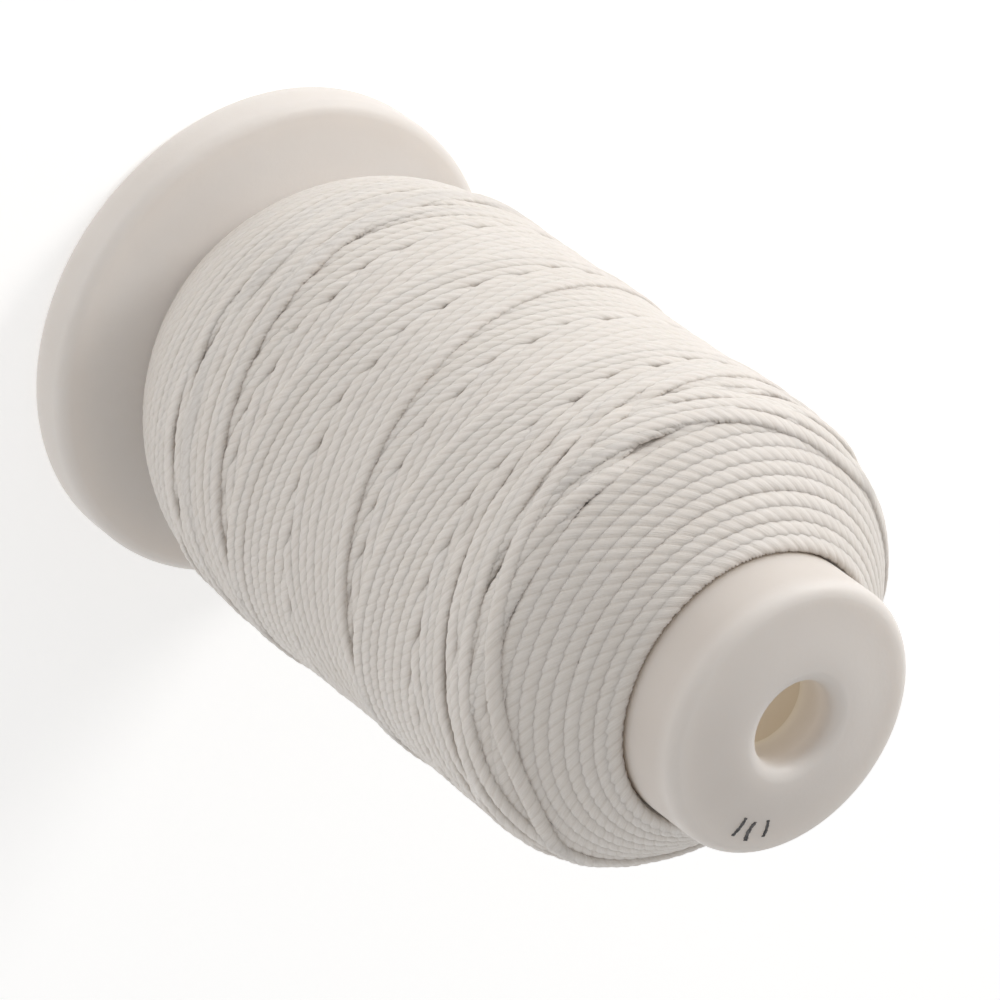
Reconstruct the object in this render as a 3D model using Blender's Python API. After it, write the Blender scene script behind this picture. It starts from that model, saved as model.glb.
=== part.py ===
"""Waxed thread spool: a moulded tube with a rounded nose, pressed into a base flange, full of thread.

The spool stands on its base. The origin is the centre of the base, and +Z runs up the spool to its nose.
"""

import math

import bmesh
import bpy

# Driving dimensions, in metres.
SPOOL_HEIGHT = 0.0989
FLANGE_RADIUS = 0.0285
TUBE_RADIUS_BASE = 0.0155
TUBE_RADIUS_NOSE = 0.01515
THREAD_RADIUS_MAX = 0.0260
TOUCH_GAP = 0.0003

# The base flange: a thin disc with a deep rim, and a sleeve that takes the tube's plug.
RIM_HEIGHT = 0.0054
RIM_FOOT_ROUNDING = 0.0008
RIM_TOP_ROUNDING = 0.0011
RIM_WALL = 0.0027
DISC_DISH = 0.0003
DISC_UNDERSIDE = 0.0032
SLEEVE_WALL = 0.0015
SLEEVE_BOTTOM = 0.0008

# The tube: a plug at the foot, a plain barrel, and a domed nose with a flared spindle hole.
PLUG_RADIUS = 0.0146
PLUG_BOTTOM = 0.0009
BORE_RADIUS_BASE = 0.0132
BORE_RADIUS_NOSE = 0.0129
NOSE_ROUNDING = 0.0014
NOSE_DOME_RISE = 0.0010
NOSE_WALL = 0.0024
HOLE_RADIUS = 0.00475
HOLE_LIP_ROUNDING = 0.0015
HOLE_BOTTOM = 0.0932
HOLE_COLLAR_WALL = 0.0013

# The label: a paper ring in the recess under the flange.
LABEL_INNER_RADIUS = 0.0170
LABEL_OUTER_RADIUS = 0.0250
LABEL_THICKNESS = 0.0003

# The winding: it swells up from the flange, runs nearly straight, and ends in a cone at the nose.
WINDING_BOTTOM = 0.0056
WINDING_SWELL_LENGTH = 0.0260
WINDING_WAIST_DEPTH = 0.0004
CONE_START = 0.0799
CONE_SOFTNESS = 0.0011
WINDING_TOP = 0.0896
OUTER_LAYERS_DEPTH = 0.0020

ROUND_STEPS = 56
ARC_STEPS = 4


def remove_old_objects():
    for old in list(bpy.data.objects):
        bpy.data.objects.remove(old, do_unlink=True)


def make_material(name, colour, roughness, metallic=0.0):
    material = bpy.data.materials.new(name)
    material.use_nodes = True
    shader = material.node_tree.nodes["Principled BSDF"]
    shader.inputs["Base Color"].default_value = (*colour, 1.0)
    shader.inputs["Roughness"].default_value = roughness
    shader.inputs["Metallic"].default_value = metallic
    return material


def arc(centre_r, centre_z, radius, start_degrees, end_degrees, steps=ARC_STEPS):
    """Points of a circular arc in the (radius, height) half-plane, both ends included."""
    points = []
    for step in range(steps + 1):
        angle = math.radians(start_degrees + (end_degrees - start_degrees) * step / steps)
        points.append((centre_r + radius * math.cos(angle), centre_z + radius * math.sin(angle)))
    return points


def turned_body(name, profile, material):
    """Turns a closed (radius, height) outline about Z into one closed body, shaded smooth."""
    mesh = bpy.data.meshes.new(name)
    shape = bmesh.new()
    corners = [shape.verts.new((radius, 0.0, height)) for radius, height in profile]
    edges = [shape.edges.new((a, b)) for a, b in zip(corners, corners[1:] + corners[:1])]
    bmesh.ops.spin(
        shape,
        geom=corners + edges,
        cent=(0.0, 0.0, 0.0),
        axis=(0.0, 0.0, 1.0),
        angle=math.tau,
        steps=ROUND_STEPS,
        use_merge=True,
    )
    bmesh.ops.remove_doubles(shape, verts=shape.verts, dist=0.000001)
    bmesh.ops.recalc_face_normals(shape, faces=shape.faces)
    shape.to_mesh(mesh)
    shape.free()
    mesh.materials.append(material)
    mesh.shade_smooth()
    mesh.set_sharp_from_angle(angle=math.radians(35))
    body = bpy.data.objects.new(name, mesh)
    bpy.context.collection.objects.link(body)
    return body


def make_base_flange(plastic):
    rim_inner = FLANGE_RADIUS - RIM_WALL
    hole_radius = PLUG_RADIUS + TOUCH_GAP
    sleeve_outer = hole_radius + SLEEVE_WALL
    rim_top = RIM_HEIGHT - RIM_TOP_ROUNDING
    profile = arc(FLANGE_RADIUS - RIM_FOOT_ROUNDING, RIM_FOOT_ROUNDING, RIM_FOOT_ROUNDING, -90, 0)
    profile += arc(FLANGE_RADIUS - RIM_TOP_ROUNDING, rim_top, RIM_TOP_ROUNDING, 0, 90)
    profile += [
        (hole_radius, RIM_HEIGHT - DISC_DISH),
        (hole_radius, SLEEVE_BOTTOM),
        (sleeve_outer, SLEEVE_BOTTOM),
        (sleeve_outer, DISC_UNDERSIDE),
        (rim_inner, DISC_UNDERSIDE),
        (rim_inner, 0.0),
    ]
    return turned_body("base_flange", profile, plastic)


def make_spool_tube(plastic):
    shoulder = RIM_HEIGHT - DISC_DISH + TOUCH_GAP
    edge_centre = SPOOL_HEIGHT - NOSE_DOME_RISE - NOSE_ROUNDING
    lip_centre = SPOOL_HEIGHT - HOLE_LIP_ROUNDING
    nose_underside = SPOOL_HEIGHT - NOSE_DOME_RISE - NOSE_WALL
    collar_outer = HOLE_RADIUS + HOLE_COLLAR_WALL
    profile = [
        (BORE_RADIUS_BASE, PLUG_BOTTOM),
        (PLUG_RADIUS, PLUG_BOTTOM),
        (PLUG_RADIUS, shoulder),
        (TUBE_RADIUS_BASE, shoulder),
    ]
    profile += arc(TUBE_RADIUS_NOSE - NOSE_ROUNDING, edge_centre, NOSE_ROUNDING, 0, 80)
    profile += arc(HOLE_RADIUS + HOLE_LIP_ROUNDING, lip_centre, HOLE_LIP_ROUNDING, 80, 180)
    profile += [
        (HOLE_RADIUS, HOLE_BOTTOM),
        (collar_outer, HOLE_BOTTOM),
        (collar_outer, nose_underside),
        (BORE_RADIUS_NOSE, nose_underside),
    ]
    return turned_body("spool_tube", profile, plastic)


def make_base_label(paper):
    top = DISC_UNDERSIDE - TOUCH_GAP
    bottom = top - LABEL_THICKNESS
    profile = [
        (LABEL_INNER_RADIUS, bottom),
        (LABEL_OUTER_RADIUS, bottom),
        (LABEL_OUTER_RADIUS, top),
        (LABEL_INNER_RADIUS, top),
    ]
    return turned_body("base_label", profile, paper)


def winding_radius(height):
    """The winding's outer radius: a cubic swell from the flange, a shallow waist, and a 45 degree cone."""
    full = THREAD_RADIUS_MAX
    swell_left = max(0.0, 1.0 - (height - WINDING_BOTTOM) / WINDING_SWELL_LENGTH)
    rise = full - TUBE_RADIUS_BASE - 2 * TOUCH_GAP
    waist = WINDING_WAIST_DEPTH * math.sin(math.pi * min(1.0, height / CONE_START) ** 2)
    cone = CONE_SOFTNESS * math.log1p(math.exp((height - CONE_START) / CONE_SOFTNESS))
    return full - rise * swell_left**3 - waist - cone


def winding_heights(bottom, top):
    """Heights for the winding's outline: close together at both tapered ends, far apart between them."""
    swell_top = WINDING_BOTTOM + WINDING_SWELL_LENGTH
    swell = [bottom + (swell_top - bottom) * step / 5 for step in range(5)]
    barrel = [swell_top + (CONE_START - 0.003 - swell_top) * step / 3 for step in range(4)]
    cone = [CONE_START - 0.001, CONE_START + 0.001, CONE_START + 0.003]
    return swell + barrel + cone + [top]


def layer_outline(depth):
    """The winding's outline, as far inside its outer surface as depth says, from the flange to the nose."""
    bottom = WINDING_BOTTOM + depth
    top = WINDING_TOP - depth * math.sqrt(2.0)
    floor_radius = TUBE_RADIUS_BASE + TOUCH_GAP
    outline = []
    for height in winding_heights(bottom, top):
        outline.append((max(floor_radius + TOUCH_GAP, winding_radius(height) - depth), height))
    return outline


def make_outer_layers(thread):
    outer = layer_outline(0.0)
    inner = layer_outline(OUTER_LAYERS_DEPTH)
    floor_radius = TUBE_RADIUS_BASE + TOUCH_GAP
    inner_ends = [(floor_radius, inner[-1][1]), (floor_radius, inner[0][1])]
    profile = [(floor_radius, outer[0][1])] + outer + [(floor_radius, outer[-1][1])]
    profile += [inner_ends[0]] + inner[::-1] + [inner_ends[1]]
    return turned_body("thread_outer_layers", profile, thread)


def make_inner_layers(thread):
    outline = layer_outline(OUTER_LAYERS_DEPTH + TOUCH_GAP)
    floor_radius = TUBE_RADIUS_BASE + TOUCH_GAP
    profile = [(floor_radius, outline[0][1])] + outline + [(floor_radius, outline[-1][1])]
    return turned_body("thread_inner_layers", profile, thread)


def main():
    remove_old_objects()
    plastic = make_material("milky_plastic", (0.78, 0.76, 0.73), 0.38)
    paper = make_material("label_paper", (0.86, 0.84, 0.79), 0.85)
    thread = make_material("waxed_thread", (0.83, 0.80, 0.75), 0.55)
    spool = bpy.data.objects.new("spool", None)
    bpy.context.collection.objects.link(spool)
    pieces = [
        make_base_flange(plastic),
        make_spool_tube(plastic),
        make_base_label(paper),
        make_inner_layers(thread),
        make_outer_layers(thread),
    ]
    for piece in pieces:
        piece.parent = spool


main()
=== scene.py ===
import math

import bpy
import numpy as np
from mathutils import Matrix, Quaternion, Vector


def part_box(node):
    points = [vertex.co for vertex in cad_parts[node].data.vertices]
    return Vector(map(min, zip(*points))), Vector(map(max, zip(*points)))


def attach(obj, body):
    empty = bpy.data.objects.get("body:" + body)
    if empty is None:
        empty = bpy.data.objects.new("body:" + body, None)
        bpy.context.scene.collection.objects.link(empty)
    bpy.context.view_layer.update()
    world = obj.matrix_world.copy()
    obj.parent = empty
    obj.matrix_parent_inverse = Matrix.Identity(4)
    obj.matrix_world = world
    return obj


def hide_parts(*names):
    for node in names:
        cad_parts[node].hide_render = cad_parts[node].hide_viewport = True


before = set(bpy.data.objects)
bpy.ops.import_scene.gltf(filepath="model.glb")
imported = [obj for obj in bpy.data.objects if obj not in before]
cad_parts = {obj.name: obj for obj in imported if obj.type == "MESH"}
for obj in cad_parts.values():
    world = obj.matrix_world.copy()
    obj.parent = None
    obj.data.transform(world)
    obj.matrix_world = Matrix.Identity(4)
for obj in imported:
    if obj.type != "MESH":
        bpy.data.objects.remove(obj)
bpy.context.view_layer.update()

print("spool frame loaded, nodes:", ", ".join(sorted(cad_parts)))

mm = 0.001


# the spool stands upright, the camera looks down on its nose and is rolled so that the nose points low right
viewSet = {
    "elevation": 44.1,     # degrees above the floor
    "roll": 126.57,        # degrees, camera turned about its own line of sight
    "distance": 0.6052,
    "aim": (-0.0005, 0.0, 0.0470),
    "lens": 206.6,
}


def makeCamera(c):
    # it stands at aim + distance * (0, -cos(elevation), sin(elevation)), looks at the aim, and is then rolled
    tilt = math.radians(c["elevation"])
    back = Vector((0.0, -math.cos(tilt), math.sin(tilt)))
    camera = bpy.data.objects.new("spoolCamera", bpy.data.cameras.new("spoolCamera"))
    bpy.context.scene.collection.objects.link(camera)
    camera.data.lens = c["lens"]
    camera.data.sensor_width = 36.0
    camera.data.clip_start = 0.01
    camera.data.clip_end = 20.0
    camera.rotation_mode = "QUATERNION"
    roll = Quaternion((0.0, 0.0, 1.0), math.radians(c["roll"]))
    camera.rotation_quaternion = (-back).to_track_quat("-Z", "Y") @ roll
    camera.location = Vector(c["aim"]) + back * c["distance"]
    bpy.context.scene.camera = camera


makeCamera(viewSet)


# a soft light well off to one side, a weak low one in front, and a bright even room
lightSet = {
    "side": {"place": (-0.80, 0.10, 0.25), "size": 0.30, "power": 3.3, "colour": (1.0, 0.99, 0.975)},
    "front": {"place": (-0.22, -0.24, 0.05), "size": 0.16, "power": 0.05, "colour": (1.0, 0.99, 0.975)},
    "aim": (0.0, 0.0, 0.05),
    "world": (1.0, 0.995, 0.985),
    "worldStrength": 0.58,
}


def makeLight(name, c):
    # a round lamp whose axis is place - aim, so that it shines from its place towards the aim
    light = bpy.data.objects.new(name, bpy.data.lights.new(name, "AREA"))
    bpy.context.scene.collection.objects.link(light)
    light.data.shape = "DISK"
    light.data.size = c["size"]
    light.data.energy = c["power"]
    light.data.color = c["colour"]
    light.location = c["place"]
    light.rotation_mode = "QUATERNION"
    light.rotation_quaternion = (Vector(c["place"]) - Vector(lightSet["aim"])).to_track_quat("Z", "Y")


for lightName in ("side", "front"):
    makeLight(lightName + "Light", lightSet[lightName])
world = bpy.data.worlds.new("softRoom")
world.use_nodes = True
world.node_tree.nodes["Background"].inputs["Color"].default_value = (*lightSet["world"], 1.0)
world.node_tree.nodes["Background"].inputs["Strength"].default_value = lightSet["worldStrength"]
bpy.context.scene.world = world
bpy.context.scene.view_settings.view_transform = "Standard"
print("camera and lights set")


def gridMesh(name, points, closeU=True, closeV=True, capEnds=False, uv=None):
    # points[u, v] is a grid of positions; points (u, v), (u + 1, v), (u + 1, v + 1), (u, v + 1) make a quad,
    # counted round to 0 again where a way is closed
    nu, nv = points.shape[:2]
    u = np.arange(nu if closeU else nu - 1)
    v = np.arange(nv if closeV else nv - 1)
    uu, vv = np.meshgrid(u, v, indexing="ij")
    un, vn = (uu + 1) % nu, (vv + 1) % nv
    quads = np.stack([uu * nv + vv, un * nv + vv, un * nv + vn, uu * nv + vn], axis=-1).reshape(-1, 4)
    loops = quads.reshape(-1)
    starts = np.arange(len(quads)) * 4
    totals = np.full(len(quads), 4)
    if capEnds:
        first = np.arange(nv)
        last = (nu - 1) * nv + np.arange(nv)[::-1]
        starts = np.append(starts, [len(loops), len(loops) + nv])
        totals = np.append(totals, [nv, nv])
        loops = np.concatenate([loops, first, last])
    mesh = bpy.data.meshes.new(name)
    mesh.vertices.add(nu * nv)
    mesh.vertices.foreach_set("co", points.reshape(-1).astype(np.float32))
    mesh.loops.add(len(loops))
    mesh.loops.foreach_set("vertex_index", loops.astype(np.int32))
    mesh.polygons.add(len(starts))
    mesh.polygons.foreach_set("loop_start", starts.astype(np.int32))
    mesh.update(calc_edges=True)
    if uv is not None:
        # the far side of a wrapped quad gets the next whole coordinate, so the pattern has no seam
        along, around = uv
        layer = mesh.uv_layers.new(name="surface")
        uFar = np.where(vn == 0, nv, vn)
        corners = np.stack([
            np.stack([along[uu], around * vv / nv], -1), np.stack([along[un], around * vv / nv], -1),
            np.stack([along[un], around * uFar / nv], -1), np.stack([along[uu], around * uFar / nv], -1),
        ], axis=2).reshape(-1, 2)
        if capEnds:
            corners = np.concatenate([corners, np.zeros((2 * nv, 2))])
        layer.data.foreach_set("uv", corners.reshape(-1).astype(np.float32))
    mesh.validate()
    mesh.shade_smooth()
    if capEnds:
        mesh.set_sharp_from_angle(angle=math.radians(85))     # flat caps, so that joined lengths show no line
    piece = bpy.data.objects.new(name, mesh)
    bpy.context.scene.collection.objects.link(piece)
    return piece


def arcPoints(centreR, centreZ, radius, startDeg, endDeg, steps):
    # centre + radius * (cos(a), sin(a)), for even steps of the angle a
    a = np.radians(np.linspace(startDeg, endDeg, steps + 1))
    return np.stack([centreR + radius * np.cos(a), centreZ + radius * np.sin(a)], axis=1)


def roundCorners(corners, rounding, steps=5):
    # each corner of a closed outline becomes (1 - t)^2 * start + 2 t (1 - t) * corner + t^2 * end,
    # where start and end lie "rounding" away from it, or 0.45 of a side where the side is short
    corners = np.asarray(corners, float)
    out = []
    for i, corner in enumerate(corners):
        before, after = corners[i - 1] - corner, corners[(i + 1) % len(corners)] - corner
        cut = [min(rounding, 0.45 * np.linalg.norm(side)) for side in (before, after)]
        start = corner + before / np.linalg.norm(before) * cut[0]
        end = corner + after / np.linalg.norm(after) * cut[1]
        t = np.linspace(0.0, 1.0, steps)[:, None]
        out.append((1 - t) ** 2 * start + 2 * t * (1 - t) * corner + t ** 2 * end)
    return np.concatenate(out)


def turnedPiece(name, outline, steps, uv=None):
    # the outline (radius, height), given anticlockwise, goes round the axis:
    # radius * cos(a), radius * sin(a), height
    angle = np.linspace(0.0, math.tau, steps, endpoint=False)
    r, z = outline[:, 0], outline[:, 1]
    points = np.stack([
        np.cos(angle)[:, None] * r, np.sin(angle)[:, None] * r, np.broadcast_to(z, (steps, len(z))),
    ], axis=-1)
    return gridMesh(name, points, uv=uv)


class NodePen:
    # adds nodes to one material and links them, so that each finish below reads as a short list
    def __init__(self, name):
        self.material = bpy.data.materials.new(name)
        self.material.use_nodes = True
        self.tree = self.material.node_tree
        self.shader = self.tree.nodes["Principled BSDF"]

    def add(self, kind, settings=None, **inputs):
        node = self.tree.nodes.new(kind)
        for key, value in (settings or {}).items():
            setattr(node, key, value)
        for key, value in inputs.items():
            self.feed(node.inputs[key.replace("_", " ")], value)
        return node

    def feed(self, socket, value):
        if isinstance(value, bpy.types.NodeSocket):
            self.tree.links.new(value, socket)
        else:
            socket.default_value = value

    def ramp(self, value, stops):
        node = self.add("ShaderNodeValToRGB")
        self.feed(node.inputs["Fac"], value)
        while len(node.color_ramp.elements) < len(stops):
            node.color_ramp.elements.new(0.5)
        for element, (place, colour) in zip(node.color_ramp.elements, stops):
            element.position = place
            element.color = (*colour, 1.0)
        return node.outputs["Color"]

    def calc(self, kind, a, b=0.0):
        node = self.add("ShaderNodeMath", {"operation": kind})
        self.feed(node.inputs[0], a)
        self.feed(node.inputs[1], b)
        return node.outputs["Value"]

    def remap(self, value, low, high, atLow=0.0, atHigh=1.0):
        # atLow + (atHigh - atLow) * (value - low) / (high - low), held level outside low and high
        node = self.add("ShaderNodeMapRange", Value=value, From_Min=low, From_Max=high,
                        To_Min=atLow, To_Max=atHigh)
        return node.outputs["Result"]

    def mix(self, factor, a, b, blend="MIX"):
        # a * (1 - factor) + b * factor; with the blend "MULTIPLY" and a factor of 1 it is a * b
        node = self.add("ShaderNodeMix", {"data_type": "RGBA", "blend_type": blend})
        self.feed(node.inputs["Factor"], factor)
        self.feed(node.inputs["A"], a)
        self.feed(node.inputs["B"], b)
        return node.outputs["Result"]

    def noise(self, vector, scale, detail=2.0, roughness=0.5):
        node = self.add("ShaderNodeTexNoise", Vector=vector, Scale=scale, Detail=detail, Roughness=roughness)
        return node.outputs["Fac"]

    def stretched(self, vector, scale):
        return self.add("ShaderNodeMapping", Vector=vector, Scale=scale).outputs["Vector"]

    def bump(self, height, strength, depth):
        return self.add("ShaderNodeBump", Strength=strength, Distance=depth, Height=height).outputs["Normal"]

    def finish(self, **values):
        for key, value in values.items():
            self.feed(self.shader.inputs[key.replace("_", " ")], value)
        return self.material


def objectNoise(pen, scale, detail=4.0, roughness=0.55, stretch=(1.0, 1.0, 1.0)):
    # noise at the piece's own position * stretch, with "scale" waves to the metre
    place = pen.add("ShaderNodeTexCoord").outputs["Object"]
    return pen.noise(pen.stretched(place, stretch), scale, detail, roughness)


plasticSet = {
    "dark": (0.708, 0.664, 0.628),
    "light": (0.735, 0.694, 0.660),
    "cloud": (55.0, 3.0),                # noise: scale, detail, roughness, stretch
    "grain": (1500.0, 3.0, 0.6),
    "scuff": (260.0, 6.0, 0.7, (1.0, 0.25, 1.0)),
    "cloudSpan": (0.35, 0.65),           # noise values at which the dark and the light colour are reached
    "scuffSpan": (0.3, 0.7),             # and the two roughnesses
    "roughness": (0.44, 0.60),
    "cloudHeight": 2.0,                  # height of the clouds in the bump, against the grain's
    "skinBump": 0.10,
    "skinDepth": 0.2 * mm,
    "soak": 0.7,
    "soakRadius": (5.0 * mm, 4.7 * mm, 4.4 * mm),
    "refraction": 1.46,
    "paintedShadeHeights": (60.0 * mm, 100.0 * mm),
    # painted shade: the side of the nose is painted a little darker, and darker and warmer where it meets the
    # thread, for the winding's shade
    "paintedContactShade": (
        (0.50, (1.0, 1.0, 1.0)), (0.70, (0.78, 0.72, 0.64)), (0.75, (0.80, 0.75, 0.68)),
        (0.785, (0.90, 0.88, 0.86)), (0.88, (0.90, 0.885, 0.87)), (0.95, (1.0, 1.0, 1.0)),
    ),
    "boreRadius": (13.3 * mm, 13.7 * mm),
    "paintedBoreGlowRange": (92.0 * mm, 98.0 * mm),
    # painted glow: emission that stands in for light soaked through the wall, from the bore up to the lip of
    # the spindle hole
    "paintedBoreGlow": (
        (0.16, (0.135, 0.116, 0.086)), (0.26, (0.170, 0.158, 0.138)),
        (0.72, (0.120, 0.115, 0.107)), (0.97, (0.0, 0.0, 0.0)),
    ),
    # and the same painted glow in the flange: by radius, by height, and stronger towards the light
    "faceRadius": (16.0 * mm, 28.5 * mm),
    "paintedFaceGlow": (
        (0.0, 1.0), (0.16, 0.90), (0.32, 0.76), (0.50, 0.64), (0.68, 0.54), (0.84, 0.36), (0.98, 0.0),
    ),
    "faceFoot": (3.6 * mm, 4.4 * mm),
    "faceTop": (5.6 * mm, 6.0 * mm),
    "paintedFaceGlowSide": (-29.0 * mm, 29.0 * mm, 0.28, 0.02),
    "paintedFaceGlowColour": (1.0, 0.965, 0.93),
}


def paintedSoakGlow(pen, place, across, c):
    # painted glow, given as emission: colour = painted bore glow by height above the flange, painted face glow
    # colour within it strength = inside * above + face glow(radius) * foot * top * side, every factor between
    # 0 and 1
    inside = pen.remap(across, *c["boreRadius"], 1.0, 0.0)
    paintedBoreGlow = pen.ramp(pen.remap(place["Z"], *c["paintedBoreGlowRange"]), c["paintedBoreGlow"])
    out = pen.remap(across, *c["faceRadius"])
    face = pen.ramp(out, [(stop, (level, level, level)) for stop, level in c["paintedFaceGlow"]])
    foot = pen.remap(place["Z"], *c["faceFoot"])
    top = pen.remap(place["Z"], *c["faceTop"], 1.0, 0.0)
    # painted light: the face glow is stronger on the side towards the lamp
    side = pen.remap(place["X"], *c["paintedFaceGlowSide"])
    for share in (foot, top, side):
        face = pen.calc("MULTIPLY", face, share)
    above = pen.remap(place["Z"], c["faceTop"][1], c["faceTop"][1] + mm)
    colour = pen.mix(above, (*c["paintedFaceGlowColour"], 1.0), paintedBoreGlow)
    return colour, pen.calc("ADD", pen.calc("MULTIPLY", inside, above), face)


def milkyPlastic(c):
    # colour = cloud(place) * painted contact shade(height); bump height = grain + cloudHeight * cloud
    pen = NodePen("milkyPlastic")
    cloud = objectNoise(pen, *c["cloud"])
    grain = objectNoise(pen, *c["grain"])
    scuff = objectNoise(pen, *c["scuff"])
    colour = pen.ramp(cloud, list(zip(c["cloudSpan"], (c["dark"], c["light"]))))
    rough = pen.remap(scuff, *c["scuffSpan"], *c["roughness"])
    height = pen.calc("ADD", grain, pen.calc("MULTIPLY", cloud, c["cloudHeight"]))
    bump = pen.bump(height, c["skinBump"], c["skinDepth"])
    place = pen.add("ShaderNodeSeparateXYZ", Vector=pen.add("ShaderNodeTexCoord").outputs["Object"]).outputs
    square = pen.calc("ADD", pen.calc("POWER", place["X"], 2.0), pen.calc("POWER", place["Y"], 2.0))
    # painted glow, given as emission, in the bore and on the flange's face
    paintedGlowColour, paintedGlowStrength = paintedSoakGlow(pen, place, pen.calc("SQRT", square), c)
    # painted shade by height on the nose's side, deepest where the thread meets it
    near = pen.remap(place["Z"], *c["paintedShadeHeights"])
    paintedShadeColour = pen.mix(1.0, colour, pen.ramp(near, c["paintedContactShade"]), "MULTIPLY")
    return pen.finish(Base_Color=paintedShadeColour, Roughness=rough, Normal=bump, IOR=c["refraction"],
                      Subsurface_Weight=c["soak"], Subsurface_Radius=c["soakRadius"], Subsurface_Scale=1.0,
                      Emission_Color=paintedGlowColour, Emission_Strength=paintedGlowStrength)


flangeSet = {
    "rimFoot": 0.8 * mm,       # rounding under the rim
    "rimTop": 1.4 * mm,        # rounding over the rim
    "rimWall": 2.7 * mm,
    "dish": 0.3 * mm,          # the face falls this far from the rim to the hole
    "faceStart": 0.6 * mm,     # level part between the rim's rounding and the dish
    "underside": 3.2 * mm,
    "skirtSlope": 0.15 * mm,
    "underRounding": 0.4 * mm,
    "holeRadius": 14.9 * mm,
    "sleeveWall": 1.5 * mm,
    "sleeveFoot": 0.8 * mm,
    "steps": 360,
}


def makeFlange(c):
    # outline: two quarter circles at the rim, a straight line down to the hole, then the hollow underside
    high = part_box("base_flange")[1]
    radius, top = high.x, high.z
    inner = radius - c["rimWall"]
    sleeve = c["holeRadius"] + c["sleeveWall"]
    rim = np.concatenate([
        arcPoints(radius - c["rimFoot"], c["rimFoot"], c["rimFoot"], -90, 0, 8),
        arcPoints(radius - c["rimTop"], top - c["rimTop"], c["rimTop"], 0, 90, 14),
    ])
    face = np.linspace((radius - c["rimTop"] - c["faceStart"], top), (c["holeRadius"], top - c["dish"]), 10)
    under = roundCorners([
        (c["holeRadius"], c["sleeveFoot"]), (sleeve, c["sleeveFoot"]), (sleeve, c["underside"]),
        (inner, c["underside"]), (inner + c["skirtSlope"], 0.0),
    ], c["underRounding"])
    return turnedPiece("mouldedFlange", np.concatenate([rim, face, under]), c["steps"])


tubeSet = {
    "baseRadius": 15.5 * mm,
    "noseRadius": 15.15 * mm,
    "plugRadius": 14.6 * mm,
    "plugFoot": 0.9 * mm,
    "shoulder": 5.4 * mm,
    "boreBase": 13.2 * mm,
    "boreNose": 12.9 * mm,
    "edgeRounding": 1.5 * mm,
    "edgeTurn": 84,              # degrees of the quarter circle, before the face takes over
    "domeRise": 1.0 * mm,
    "noseWall": 2.4 * mm,
    "holeRadius": 4.75 * mm,
    "lipRounding": 1.5 * mm,
    "holeFoot": 93.2 * mm,
    "collarWall": 1.3 * mm,
    "collarSlope": 0.2 * mm,
    "innerRounding": 0.35 * mm,
    "barrelStart": 1.0 * mm,     # above the shoulder
    "barrelEnd": 0.5 * mm,       # below the nose's edge
    "steps": 300,
}


def noseOutline(c, top):
    # an arc for the outer edge, the face, and an arc for the lip of the spindle hole
    edge = arcPoints(c["noseRadius"] - c["edgeRounding"], top - c["domeRise"] - c["edgeRounding"],
                     c["edgeRounding"], 0, c["edgeTurn"], 14)
    lip = arcPoints(c["holeRadius"] + c["lipRounding"], top - c["lipRounding"],
                    c["lipRounding"], c["edgeTurn"], 180, 16)
    # the face is a shallow S: height = a + (b - a) * (3 t^2 - 2 t^3)
    t = np.linspace(0.0, 1.0, 14)[1:-1, None]
    a, b = edge[-1], lip[0]
    face = a + (b - a) * t
    face[:, 1] = a[1] + (b[1] - a[1]) * (3 * t[:, 0] ** 2 - 2 * t[:, 0] ** 3)
    return np.concatenate([edge, face, lip])


def makeTube(c):
    # outline: a straight barrel, the nose, then the bore's rounded corners back down to the shoulder
    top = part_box("spool_tube")[1].z
    nose = noseOutline(c, top)
    collar = c["holeRadius"] + c["collarWall"]
    under = top - c["domeRise"] - c["noseWall"]
    inside = roundCorners([
        (c["holeRadius"], c["holeFoot"]), (collar, c["holeFoot"]), (collar + c["collarSlope"], under),
        (c["boreNose"], under), (c["boreBase"], c["plugFoot"]), (c["plugRadius"], c["plugFoot"]),
        (c["plugRadius"], c["shoulder"]), (c["baseRadius"], c["shoulder"]),
    ], c["innerRounding"])
    barrel = np.linspace((c["baseRadius"], c["shoulder"] + c["barrelStart"]),
                         (c["noseRadius"], nose[0][1] - c["barrelEnd"]), 12)
    return turnedPiece("mouldedTube", np.concatenate([barrel, nose, inside]), c["steps"])


plastic = milkyPlastic(plasticSet)
flange = makeFlange(flangeSet)
tube = makeTube(tubeSet)
for piece, node in ((flange, "base_flange"), (tube, "spool_tube")):
    piece.data.materials.append(plastic)
    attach(piece, "root")
    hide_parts(node)
print("moulded flange and tube made")


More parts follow.
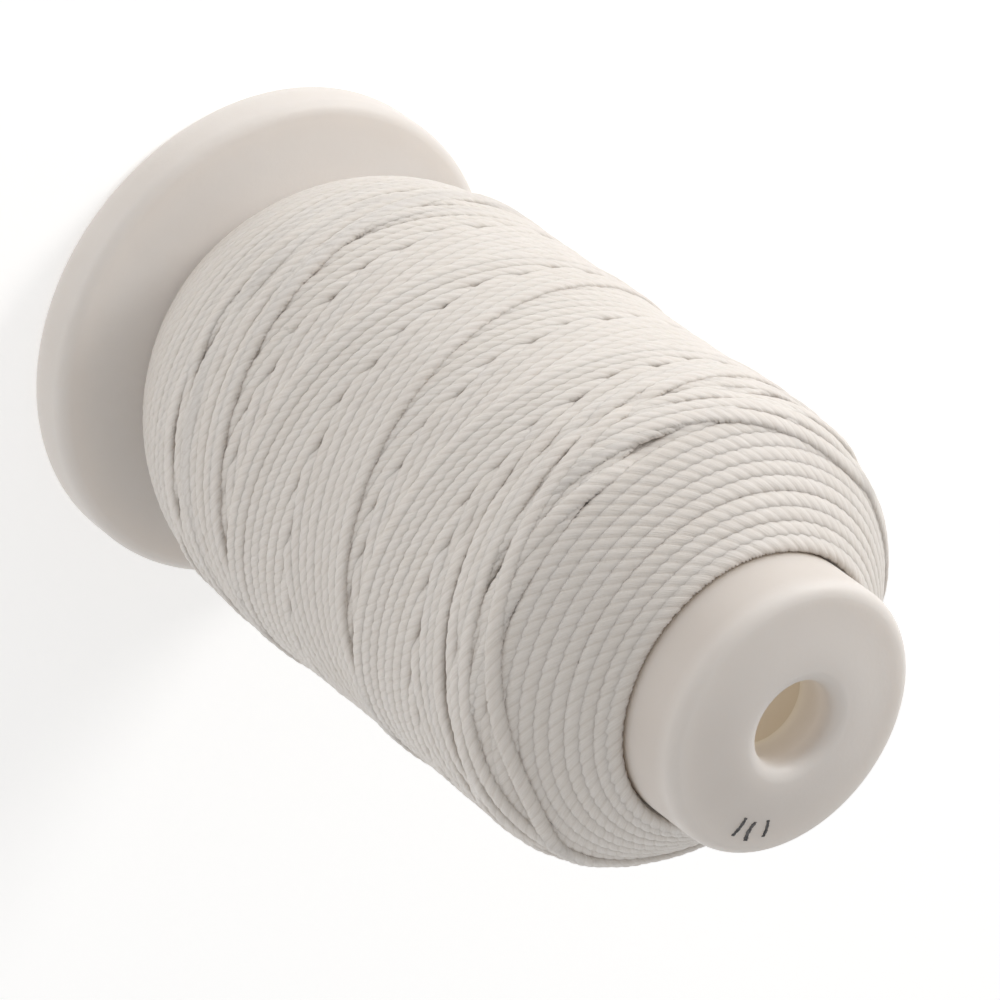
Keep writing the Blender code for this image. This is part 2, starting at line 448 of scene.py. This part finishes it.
# a thread is laid turn by turn on a height map of the package, so later turns climb over earlier ones
windSet = {
    "bottom": 5.6 * mm,          # package outline: heights and sizes of its outer surface
    "fullRadius": 26.0 * mm,
    "swellLength": 26.0 * mm,
    "waist": 0.4 * mm,
    "coneStart": 79.9 * mm,
    "coneSoftness": 1.1 * mm,
    "top": 89.8 * mm,
    "footRadius": 16.1 * mm,
    "outlineSamples": 4000,
    "spacing": 1.36 * mm,        # between neighbouring turns
    "grip": 0.28,                # half of the width that rests on the turns below, as a share of the spacing
    "squash": 0.56,              # crossed turns press into each other
    "pressed": 1.02 * mm,        # height above which the package gives way under a new turn
    "give": 0.40 * mm,           # and the most it can still rise from there
    "growth": 0.0035 * mm,       # what each turn adds to that height
    "lead": 23.3 * mm,           # rise for each turn of the package
    "cycle": 5.06,               # turns of the package for one way up and down again
    "middle": 51.6 * mm,         # height half-way between the two reversals
    "sharpness": 0.999,          # how quickly the thread turns back
    "cycles": 18,
    "lastDown": 0.086,           # turn at which the last way down passes the middle
    "startAngle": 276.0,         # degrees round the axis at turn 0
    "mapAround": 1024,           # columns of the height map round the package
    "mapStep": 0.1 * mm,         # and its step along the outline
    "overrun": 48,               # columns laid twice, so that one turn runs smoothly into the next
    "memory": 64,                # columns of the turn before that are averaged with the next
    "wander": 0.10 * mm,
    "edgeWander": 2.0 * mm,      # how far one reversal lies from the next
    "noseTurns": 12,
    "noseStep": 1.52 * mm,
    "noseWander": 0.10 * mm,
    "noseMargin": 0.20 * mm,     # from the end of the outline to the first turn
    "noseHidden": 0.15,          # share of a turn over which the thread's end comes out from under the next
    "noseLevel": 0.65,           # share of a turn laid level before the thread begins to move down
    "noseTilt": 0.35 * mm,       # the turns on the cone lie a little higher on one side
    "noseTiltStart": 0.60,       # share of a turn at which they lie highest
    "footTurns": 17,
    "footStep": 1.40 * mm,
    "footMargin": 0.8 * mm,
    "footWander": 0.28 * mm,
    "bedMargin": 0.5 * mm,       # the crossed turns' own bed reaches this far past their mean reversals
    "settle": 0.10 * mm,
    "levelSpread": 1.4 * mm,     # length over which the laid height is averaged
    "tuck": 1.6 * mm,            # the ends of a run dive under their neighbours
    "tuckTurns": 0.12,           # within this share of a turn
    "lean": 0.3 * mm,            # the package sits a little off the tube's axis
    "seed": 7,
}

threadSet = {
    "width": 2.00 * mm,          # the waxed thread is pressed flat: wide along the package, thin across it
    "thickness": 0.98 * mm,
    "widen": {"nose": 1.08},     # turns with room beside them spread a little more
    "plies": 3,
    "valley": 0.84,              # height in the grooves between the plies, as a share of the full height
    "plyRoundness": 0.8,         # under 1 the plies are fuller and the grooves narrower
    "crossing": 0.985,           # near 1 a ply crosses the width at a steady rate
    "squareness": 2.6,           # 2 is an ellipse, more is squarer
    "lay": 4.7 * mm,             # length of one full twist, turned like a right-hand screw
    "ringStep": 0.44 * mm,
    "ringPoints": 18,
    "pieceRings": 5400,
}


def packageOutline(c, z):
    # full radius, less a cubic swell at the flange, less a waist of waist * sin(pi * (z / coneStart)^2),
    # less a 45 degree cone, coneSoftness * ln(1 + e^((z - coneStart) / coneSoftness))
    swell = np.clip(1.0 - (z - c["bottom"]) / c["swellLength"], 0.0, 1.0) ** 3
    waist = c["waist"] * np.sin(math.pi * np.minimum(1.0, z / c["coneStart"]) ** 2)
    cone = c["coneSoftness"] * np.log1p(np.exp((z - c["coneStart"]) / c["coneSoftness"]))
    return c["fullRadius"] - (c["fullRadius"] - c["footRadius"]) * swell - waist - cone


def smoothed(values, spread):
    # an average weighted by e^(-0.5 * (sample / spread)^2)
    span = int(3 * spread)
    bell = np.exp(-0.5 * (np.arange(-span, span + 1) / spread) ** 2)
    return np.convolve(np.pad(values, span, mode="edge"), bell / bell.sum(), mode="valid")


class PackageMap:
    # the package's outer surface by (angle, distance along the outline), and the height of thread laid on it
    def __init__(self, c):
        self.c = c
        z = np.linspace(c["bottom"], c["top"], c["outlineSamples"])
        r = packageOutline(c, z)
        along = np.concatenate([[0.0], np.cumsum(np.hypot(np.diff(z), np.diff(r)))])
        self.length = along[-1]
        self.s = np.arange(0.0, self.length, c["mapStep"])
        self.r, self.z = np.interp(self.s, along, r), np.interp(self.s, along, z)
        slopeR, slopeZ = np.gradient(self.r, self.s), np.gradient(self.z, self.s)
        size = np.hypot(slopeR, slopeZ)
        self.normalR, self.normalZ = slopeZ / size, -slopeR / size
        self.around = c["mapAround"]
        self.height = np.zeros((self.around, len(self.s)))
        half = c["spacing"] / 2
        reach = int(c["grip"] * c["spacing"] / c["mapStep"])
        self.offsets = np.arange(-reach, reach + 1)
        # the top of one thread: squash * sqrt((spacing / 2)^2 - offset^2)
        self.dome = c["squash"] * np.sqrt(half ** 2 - (self.offsets * c["mapStep"]) ** 2)

    def bed(self, low, high):
        # one layer, squash * spacing high, already lies outside the part that the crossed turns will cover
        outside = (self.s < low) | (self.s > high)
        self.height[:, outside] += self.c["squash"] * self.c["spacing"]

    def layPath(self, turns, path):
        # path(n) is the distance along the outline after n turns; returns turns, distance and height
        kept, before = [], np.zeros(0)
        columns = (np.arange(self.around + self.c["overrun"]) % self.around)[:, None]
        step = np.arange(self.around + self.c["overrun"]) / self.around
        for turn in range(turns):
            s = path(turn + step)
            cells = np.rint(s / self.c["mapStep"]).astype(int)[:, None] + self.offsets
            cells = np.clip(cells, 0, len(self.s) - 1)
            # the thread rests on the highest point below it, and past "pressed" by "over" it rises
            # by give * (1 - e^(-over / give))
            rest = (self.height[columns, cells] + self.dome).max(axis=1)
            pressed, give = self.c["pressed"], self.c["give"]
            over = np.maximum(rest - pressed, 0.0)
            rest = np.minimum(rest, pressed) + give * (1.0 - np.exp(-over / give))
            rest += self.c["growth"] * turn
            taut = bridge(np.concatenate([before, rest]))[len(before):][:self.around]
            before = taut[-self.c["memory"]:]
            top = taut[:, None] + self.dome
            where = (np.broadcast_to(columns[:self.around], top.shape), cells[:self.around])
            np.maximum.at(self.height, where, top)
            kept.append((turn + step[:self.around], s[:self.around], taut))
        return [np.concatenate(part) for part in zip(*kept)]


def bridge(values, reach=3, spread=8.0):
    # a pulled thread spans the hollows: the highest value within reach on either side, then an average
    padded = np.pad(values, reach, mode="edge")
    return smoothed(np.lib.stride_tricks.sliding_window_view(padded, 2 * reach + 1).max(axis=1), spread)


def slowWander(rng, size):
    # size * sum of sin(2 pi * wave * n + phase) / sqrt(7), for seven slow waves with random phases
    waves = rng.uniform(0.25, 1.3, 7)
    phases = rng.uniform(0.0, math.tau, 7)
    share = size / math.sqrt(7)
    return lambda n: share * np.sin(np.multiply.outer(n, waves) * math.tau + phases).sum(axis=-1)


def windPackage(c):
    # each run is a path s(n), the distance along the outline after n turns, laid on the one height map
    rng = np.random.default_rng(c["seed"])
    package = PackageMap(c)
    runs = []

    # the way up and down is a triangle wave with rounded peaks, a little over a whole number of turns long
    cycle = c["cycle"]
    bend = math.asin(c["sharpness"])
    # its steepest rise, reach * 2 pi * sharpness / (bend * cycle), is the lead
    reach = c["lead"] * cycle / (math.tau * c["sharpness"] / bend)
    middle = np.interp(c["middle"], package.z, package.s)
    package.bed(middle - reach - c["bedMargin"], middle + reach + c["bedMargin"])

    # turns round the nose cone, laid from its end downwards, and round the foot, laid from the flange upwards;
    # half a turn is added so that both start at the back
    noseWander = slowWander(rng, c["noseWander"])
    footWander = slowWander(rng, c["footWander"])

    def nosePath(n):
        # s = end - margin - hidden - step * (n - level) + tilt * cos(2 pi * (n - tilt start)) + wander
        hidden = c["noseStep"] * np.clip(1.0 - n / c["noseHidden"], 0.0, 1.0) ** 2
        tilt = c["noseTilt"] * np.cos(math.tau * (n - c["noseTiltStart"]))
        down = c["noseStep"] * np.maximum(n - c["noseLevel"], 0.0)
        return package.length - c["noseMargin"] - hidden - down + tilt + noseWander(n)

    def footPath(n):
        return c["footMargin"] + c["footStep"] * n + footWander(n)

    for label, turns, path in (("nose", c["noseTurns"], nosePath), ("foot", c["footTurns"], footPath)):
        turn, s, height = package.layPath(turns, path)
        runs.append((label, (turn + 0.5, s, height)))

    # the crossed turns; the sixth power of the wave moves each reversal a little and leaves the middle alone
    turns = math.ceil(c["cycles"] * cycle)
    first = c["lastDown"] + 0.25 * cycle - turns
    wander = slowWander(rng, c["wander"])
    edge = slowWander(rng, c["edgeWander"])

    def crossed(n):
        # s = middle + reach * wave + wander + edge * wave^6, with
        # wave = arcsin(k * sin(-2 pi * n / cycle)) / arcsin(k) and k the sharpness
        wave = np.arcsin(c["sharpness"] * np.sin(-math.tau * (n + first - c["lastDown"]) / cycle)) / bend
        return middle + reach * wave + wander(n) + edge(n) * wave ** 6

    turn, s, height = package.layPath(turns, crossed)
    runs.append(("crossed", (turn + first - math.floor(first), s, height)))
    return package, runs


def threadPoints(package, run, c):
    # turns, distance and height become positions: outline + depth * normal, where
    # depth = height - mean height laid there - settle, so that the thread's mean top comes to the outline
    turn, s, height = run
    angle = math.radians(c["startAngle"]) - math.tau * turn
    fromEnd = np.minimum(turn - turn[0], turn[-1] - turn)
    height = height - c["tuck"] * np.clip(1.0 - fromEnd / c["tuckTurns"], 0.0, 1.0) ** 2
    level = smoothed(package.height.mean(axis=0), c["levelSpread"] / c["mapStep"])
    depth = height - np.interp(s, package.s, level) - c["settle"]
    nr = np.interp(s, package.s, package.normalR)
    nz = np.interp(s, package.s, package.normalZ)
    r = np.interp(s, package.s, package.r) + depth * nr
    z = np.interp(s, package.s, package.z) + depth * nz
    lean = c["lean"] * np.clip((r - c["footRadius"]) / (c["fullRadius"] - c["footRadius"]), 0.0, 1.0)
    place = np.stack([r * np.cos(angle) - lean, r * np.sin(angle), z], axis=1)
    outward = np.stack([nr * np.cos(angle), nr * np.sin(angle), nz], axis=1)
    return place, outward


def evenSteps(place, outward, step):
    # length = running sum of the distances between neighbours; both lists are read again every "step"
    length = np.concatenate([[0.0], np.cumsum(np.linalg.norm(np.diff(place, axis=0), axis=1))])
    even = np.arange(0.0, length[-1], step)
    pick = lambda a: np.stack([np.interp(even, length, a[:, i]) for i in range(3)], axis=1)
    return even, pick(place), pick(outward)


def twistedThread(even, place, outward, c, widen):
    # a flattened ring with a lobe for each ply, turned a little further at each step, goes along the thread:
    # lobe = valley + (1 - valley) * |sin(plies / 2 * a)|^plyRoundness at the ring's angle a
    # across = arcsin(k * sin(turned)) / arcsin(k), with the crossing k, so it runs from -1 to 1 and back
    # height = (1 - |across|^squareness)^(1 / 2), up on one face and down on the other
    along = np.gradient(place, axis=0)
    along /= np.linalg.norm(along, axis=1, keepdims=True)
    outward = outward - (outward * along).sum(axis=1, keepdims=True) * along
    outward /= np.linalg.norm(outward, axis=1, keepdims=True)
    side = np.cross(along, outward)
    count = c["ringPoints"]
    ring = np.arange(count) / count * math.tau
    lobe = c["valley"] + (1.0 - c["valley"]) * np.abs(np.sin(c["plies"] / 2 * ring)) ** c["plyRoundness"]
    turned = math.tau * even[:, None] / c["lay"] - ring[None, :]
    across = np.arcsin(c["crossing"] * np.sin(turned)) / math.asin(c["crossing"])
    height = np.sign(np.cos(turned)) * np.sqrt(np.clip(1.0 - np.abs(across) ** c["squareness"], 0.0, 1.0))
    across *= c["width"] / 2 * widen * (0.5 + 0.5 * lobe)
    height *= c["thickness"] / 2 * lobe
    return place[:, None] + height[..., None] * outward[:, None] + across[..., None] * side[:, None]


# a waxed bonded cord: pale plies with painted shade in the grooves, darker and warmer, fine fibres along them,
# a thin film of wax
waxSet = {
    "paintedGrooveShade": (0.735, 0.680, 0.628),
    "crest": (0.785, 0.736, 0.692),
    "crestAt": 0.45,             # share of the way from groove to crest where the full colour is reached
    "fibreStretch": (0.35, 3.2, 1.0),
    "fibreNoise": (2.2, 5.0, 0.6),
    "fibreTint": ((0.32, (0.93, 0.92, 0.905)), (0.60, (1.0, 1.0, 1.0))),
    "fibreBump": (0.8, 0.1 * mm),
    "slowStretch": (0.05, 0.4, 1.0),
    "slowNoise": (1.0, 2.0),
    "slowTint": ((0.35, (0.97, 0.965, 0.955)), (0.65, (1.0, 1.0, 1.0))),
    "filmNoise": (900.0, 3.0),
    "filmSpan": (0.35, 0.65),
    "roughness": (0.42, 0.66),
    "soak": 0.18,
    "soakRadius": (1.0 * mm, 0.9 * mm, 0.8 * mm),
    "sheen": (0.15, 0.5),        # strength and roughness
}


def waxedThread(c):
    # colour = painted groove shade(|sin(pi * way round)|) * slow tint * fibre tint, on a map along and round
    # the thread
    pen = NodePen("waxedThread")
    surface = pen.add("ShaderNodeUVMap", {"uv_map": "surface"}).outputs["UV"]
    fibres = pen.noise(pen.stretched(surface, c["fibreStretch"]), *c["fibreNoise"])
    slow = pen.noise(pen.stretched(surface, c["slowStretch"]), *c["slowNoise"])
    film = objectNoise(pen, *c["filmNoise"])
    around = pen.add("ShaderNodeSeparateXYZ", Vector=surface).outputs["Y"]
    crest = pen.calc("ABSOLUTE", pen.calc("SINE", pen.calc("MULTIPLY", around, math.pi)))
    # painted shade: the grooves between the plies are painted darker
    paintedPlyShade = pen.ramp(crest, [(0.0, c["paintedGrooveShade"]), (c["crestAt"], c["crest"])])
    tinted = pen.mix(1.0, paintedPlyShade, pen.ramp(slow, c["slowTint"]), "MULTIPLY")
    streaked = pen.mix(1.0, tinted, pen.ramp(fibres, c["fibreTint"]), "MULTIPLY")
    return pen.finish(Base_Color=streaked, Roughness=pen.remap(film, *c["filmSpan"], *c["roughness"]),
                      Normal=pen.bump(fibres, *c["fibreBump"]), Subsurface_Weight=c["soak"],
                      Subsurface_Radius=c["soakRadius"], Subsurface_Scale=1.0,
                      Sheen_Weight=c["sheen"][0], Sheen_Roughness=c["sheen"][1])


thread = waxedThread(waxSet)
package, runs = windPackage(windSet)
print("thread laid,", sum(len(run[0]) for label, run in runs) // package.around, "turns shown")

ringStep = threadSet["ringStep"] * 1.0
threadPieces = []
for label, run in runs:
    even, place, outward = evenSteps(*threadPoints(package, run, windSet), ringStep)
    rings = twistedThread(even, place, outward, threadSet, threadSet["widen"].get(label, 1.0))
    parts = max(1, math.ceil(len(even) / threadSet["pieceRings"]))
    edges = np.linspace(0, len(even) - 1, parts + 1).astype(int)
    for number, (first, last) in enumerate(zip(edges[:-1], edges[1:])):
        cut = slice(first, last + 1)
        piece = gridMesh(f"thread_{label}_{number + 1}", rings[cut], closeU=False, capEnds=True,
                         uv=(even[cut] / mm, float(threadSet["plies"])))
        piece.data.materials.append(thread)
        threadPieces.append(piece)
for piece in threadPieces:
    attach(piece, "root")
    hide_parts("thread_outer_layers")
print("thread pieces:", len(threadPieces), "triangles:", sum(len(p.data.polygons) for p in threadPieces) * 2)


# the layers below, seen only through the small gaps between the turns
coreSet = {
    "inset": 0.48 * mm,          # below the package's outline
    "noseInset": 0.10 * mm,      # and at the end of the nose cone
    "noseLength": 2.0 * mm,      # distance over which it changes
    "innerRadius": 15.55 * mm,
    "leastWall": 0.3 * mm,
    "collarRadius": 15.2 * mm,   # closes on the tube at the nose
    "collarStep": 0.2 * mm,
    "collarTop": 0.25 * mm,
    "everyCell": 12,             # cells of the height map between outline points
    "steps": 180,
    "turnsShown": 60.0,          # repeats of the thread's pattern round the outline
}


def makeCore(package, c):
    # radius and height = outline - inset * normal, where the inset shrinks in a straight line near the nose
    near = np.clip(1.0 - (package.length - package.s) / c["noseLength"], 0.0, 1.0)
    inset = c["inset"] - (c["inset"] - c["noseInset"]) * near
    r = package.r - inset * package.normalR
    z = package.z - inset * package.normalZ
    pick = slice(c["everyCell"], None, c["everyCell"])
    outer = np.stack([np.maximum(r[pick], c["innerRadius"] + c["leastWall"]), z[pick]], axis=1)
    foot, last = outer[0, 1], outer[-1, 1]
    collar = [(c["innerRadius"], last + c["collarStep"]), (c["collarRadius"], last + c["collarTop"])]
    outline = np.concatenate([[(c["innerRadius"], foot)], outer, collar])
    along = np.abs(np.linspace(-1.0, 1.0, c["steps"], endpoint=False)) * math.pi * windSet["fullRadius"] / mm
    return turnedPiece("threadCore", outline, c["steps"], uv=(along, c["turnsShown"]))


core = makeCore(package, coreSet)
core.data.materials.append(thread)
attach(core, "root")
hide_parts("thread_inner_layers")


# three plain strokes of marker ink on the nose, where the thread's size would be noted
inkSet = {
    # angle in degrees, inner and outer radius, width
    "strokes": (
        (13.0, 10.6 * mm, 12.9 * mm, 0.40 * mm),
        (22.0, 10.9 * mm, 13.2 * mm, 0.46 * mm),
        (31.0, 10.7 * mm, 12.8 * mm, 0.38 * mm),
    ),
    "steps": 24,
    "across": 5,
    "ragged": 0.30,              # share of the width by which the edge wavers
    "waver": (31.0, 13.0),       # its two waves, radians to the stroke
    "bend": 0.018,               # radians
    "lift": 0.012 * mm,
    "sunk": 0.05 * mm,
    "colour": (0.035, 0.033, 0.034),
    "worn": (0.22, 0.21, 0.21),
    "wear": (2600.0, 3.0, 0.7),
    "wearSpan": (0.40, 0.75),
}


def makeInk(c):
    # each stroke is a thin strip along a radius that lies on the nose: it goes across, then back underneath
    # angle = start + bend * sin(3 t + start) + width * w * (1 + ragged * sin * sin) / inner radius
    face = noseOutline(tubeSet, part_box("spool_tube")[1].z)
    faceR, faceZ = face[::-1, 0], face[::-1, 1]
    t = np.linspace(0.0, 1.0, c["steps"])[:, None]
    there = np.linspace(-0.5, 0.5, c["across"])
    w = np.concatenate([there, there[::-1]])[None, :]
    rise = np.repeat([c["lift"], -c["sunk"]], c["across"])[None, :]
    strips = []
    for angle, inner, outer, width in c["strokes"]:
        edge = 1.0 + c["ragged"] * np.sin(t * c["waver"][0] + angle) * np.sin(t * c["waver"][1])
        r = inner + (outer - inner) * t + 0.0 * w
        turn = math.radians(angle) + (c["bend"] * np.sin(3.0 * t + angle) + width * edge * w / inner)
        z = np.interp(r, faceR, faceZ) + rise
        strips.append(np.stack([r * np.cos(turn), r * np.sin(turn), z], axis=-1))
    pen = NodePen("markerInk")
    colour = pen.ramp(objectNoise(pen, *c["wear"]), list(zip(c["wearSpan"], (c["colour"], c["worn"]))))
    ink = pen.finish(Base_Color=colour, Roughness=0.5)
    for number, strip in enumerate(strips):
        piece = gridMesh(f"inkStroke_{number + 1}", strip, closeU=False, capEnds=True)
        piece.data.materials.append(ink)
        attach(piece, "root")


makeInk(inkSet)


# a blank paper disc closes the flange
labelSet = {
    "dark": (0.80, 0.775, 0.72),
    "light": (0.86, 0.84, 0.79),
    "pulp": (700.0, 5.0),
    "pulpSpan": (0.35, 0.65),
    "bump": (0.25, 0.1 * mm),
    "roughness": 0.88,
}


def labelPaper(c):
    # colour = between dark and light by the pulp noise, which is the bump's height too
    pen = NodePen("labelPaper")
    pulp = objectNoise(pen, *c["pulp"])
    colour = pen.ramp(pulp, list(zip(c["pulpSpan"], (c["dark"], c["light"]))))
    return pen.finish(Base_Color=colour, Roughness=c["roughness"], Normal=pen.bump(pulp, *c["bump"]))


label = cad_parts["base_label"]
label.data.materials.clear()
label.data.materials.append(labelPaper(labelSet))


# the pale table under the spool; it shines a little, like the lit room round it
floorSet = {
    "half": 3.0,
    "drop": 0.2 * mm,
    "dark": (0.93, 0.93, 0.93),
    "light": (0.95, 0.95, 0.95),
    "shade": (3.0, 2.0),
    "shadeSpan": (0.3, 0.7),
    "roughness": 0.9,
    "shine": 0.34,
}


def makeFloor(c):
    # one square, from -half to half both ways
    side = np.array([-c["half"], c["half"]])
    corners = np.stack([*np.meshgrid(side, side, indexing="ij"), np.full((2, 2), -c["drop"])], axis=-1)
    floor = gridMesh("paleFloor", corners, closeU=False, closeV=False)
    pen = NodePen("paleFloor")
    colour = pen.ramp(objectNoise(pen, *c["shade"]), list(zip(c["shadeSpan"], (c["dark"], c["light"]))))
    floor.data.materials.append(pen.finish(Base_Color=colour, Roughness=c["roughness"],
                                           Emission_Color=(1.0, 1.0, 1.0, 1.0), Emission_Strength=c["shine"]))


makeFloor(floorSet)
print("label, core and floor made")
